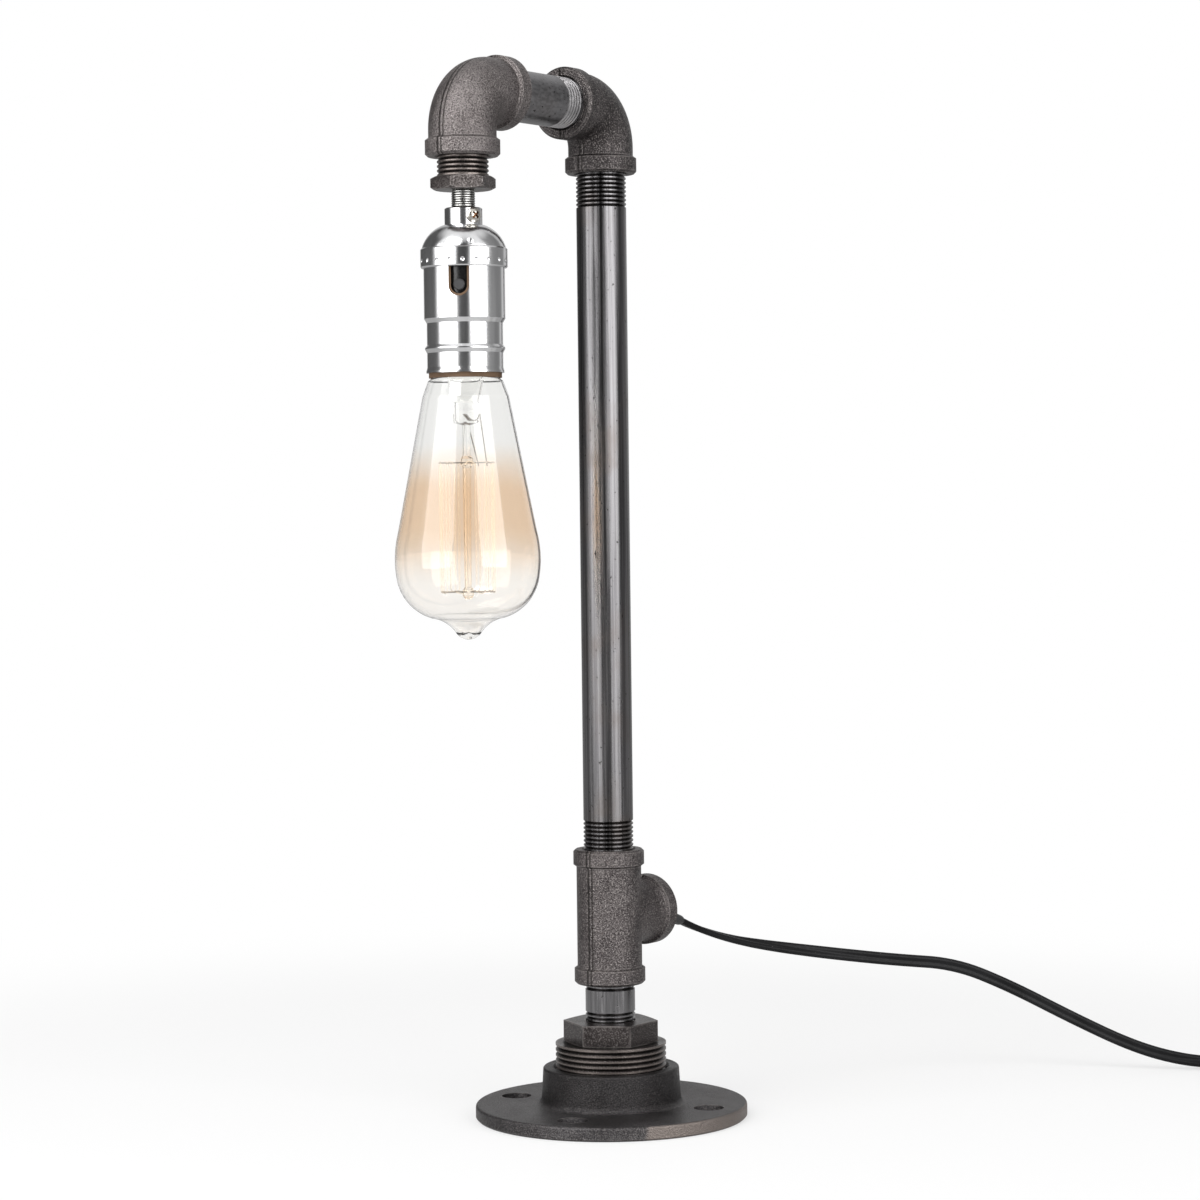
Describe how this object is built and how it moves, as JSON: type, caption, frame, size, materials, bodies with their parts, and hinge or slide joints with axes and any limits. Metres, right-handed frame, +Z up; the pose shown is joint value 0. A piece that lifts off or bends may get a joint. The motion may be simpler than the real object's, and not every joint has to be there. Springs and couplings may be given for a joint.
{
  "type": "pipe table lamp",
  "caption": "Table lamp of screwed iron pipe on a floor flange, its short arm ending in a hanging lampholder and cage-filament bulb.",
  "frame": {"origin": "centre of the floor flange's underside, on the riser's axis", "axes": "+Z up the riser, -X along the arm towards the lampholder, +X out of the tee's side outlet along the cord"},
  "size_m": [0.3984, 0.377, 0.4468],
  "materials": {
    "cast_fitting": "oiled malleable iron with a fine sand-cast grain, edges rubbed lighter",
    "cast_flange": "darker cast floor flange, one ground patch on its rim",
    "oiled_bushing": "brown oily cut threads and hexes",
    "riser_steel": "semi-polished grey pipe with upright streaks and brown stains",
    "bright_steel": "bright turned pipe nipple",
    "zinc": "zinc-plated thread",
    "polished_aluminium": "mirror-bright pressed aluminium",
    "plated_screw": "nickel-plated pan head",
    "fibre_liner": "brown pressed fibre",
    "black_moulding": "glossy black moulded core",
    "switch_black": "dull black stem",
    "brass": "plain pressed brass",
    "bulb_cap_metal": "nickel-plated screw cap",
    "vitrite": "black glass insulator",
    "solder": "dull tinned contact",
    "amber_glass": "clear envelope with an amber tint round its middle",
    "clear_glass": "clear stem, press and rod",
    "filament_wire": "thin dark wire",
    "cord_black": "satin black twin flat cord",
    "rubber_black": "black rubber bushing",
    "tie_black": "plain black strap"
  },
  "bodies": {
    "base": {"base_flange": "cast_flange", "base_bushing": "oiled_bushing", "base_nipple": "bright_steel", "tee": "cast_fitting", "riser_pipe": "riser_steel", "cord_grommet": "rubber_black", "riser_cord": "cord_black", "cord_run": "cord_black", "cord_coil": "cord_black", "coil_tie": "tie_black", "plug_body": "rubber_black", "plug_blades": "brass"},
    "arm": {"riser_elbow": "cast_fitting", "arm_nipple": "bright_steel", "arm_cord": "cord_black"},
    "head": {"head_elbow": "cast_fitting", "head_bushing": "oiled_bushing", "socket_nipple": "zinc", "head_cord": "cord_black", "socket_cap": "polished_aluminium", "cap_screw": "plated_screw", "socket_shell": "polished_aluminium", "shell_liner": "fibre_liner", "socket_core": "black_moulding", "screw_shell": "brass", "center_contact": "brass", "terminal_screws": "brass", "socket_leads": "cord_black"},
    "switch": {"switch_stem": "switch_black", "switch_cam": "switch_black"},
    "bulb_seat": {"bulb_tip": "solder"},
    "bulb": {"bulb_cap": "bulb_cap_metal", "bulb_insulator": "vitrite", "bulb_glass": "amber_glass", "bulb_stem": "clear_glass", "filament": "filament_wire", "support_wires": "filament_wire", "lead_wires": "filament_wire"}
  },
  "joints": [
    {"name": "arm_swivel", "type": "hinge", "parent": "base", "child": "arm", "pos_m": [0, 0, 0.4316], "axis": [0, 0, 1], "range_deg": [-90, 90]},
    {"name": "head_tilt", "type": "hinge", "parent": "arm", "child": "head", "pos_m": [-0.0953, 0, 0.4316], "axis": [1, 0, 0], "range_deg": [-90, 90]},
    {"name": "switch_turn", "type": "hinge", "parent": "head", "child": "switch", "pos_m": [-0.0953, 0, 0.3516], "axis": [-0.866, -0.5, 0], "continuous": true},
    {"name": "bulb_drop", "type": "slide", "parent": "head", "child": "bulb_seat", "axis": [0, 0, -1], "range_m": [0, 0.0109]},
    {"name": "bulb_turn", "type": "hinge", "parent": "bulb_seat", "child": "bulb", "pos_m": [-0.0953, 0, 0.3173], "axis": [0, 0, -1], "range_deg": [0, 1080]}
  ],
  "couplings": [
    {"joint": "bulb_drop", "follows": "bulb_turn", "m_per_rad": 0.00057757}
  ]
}
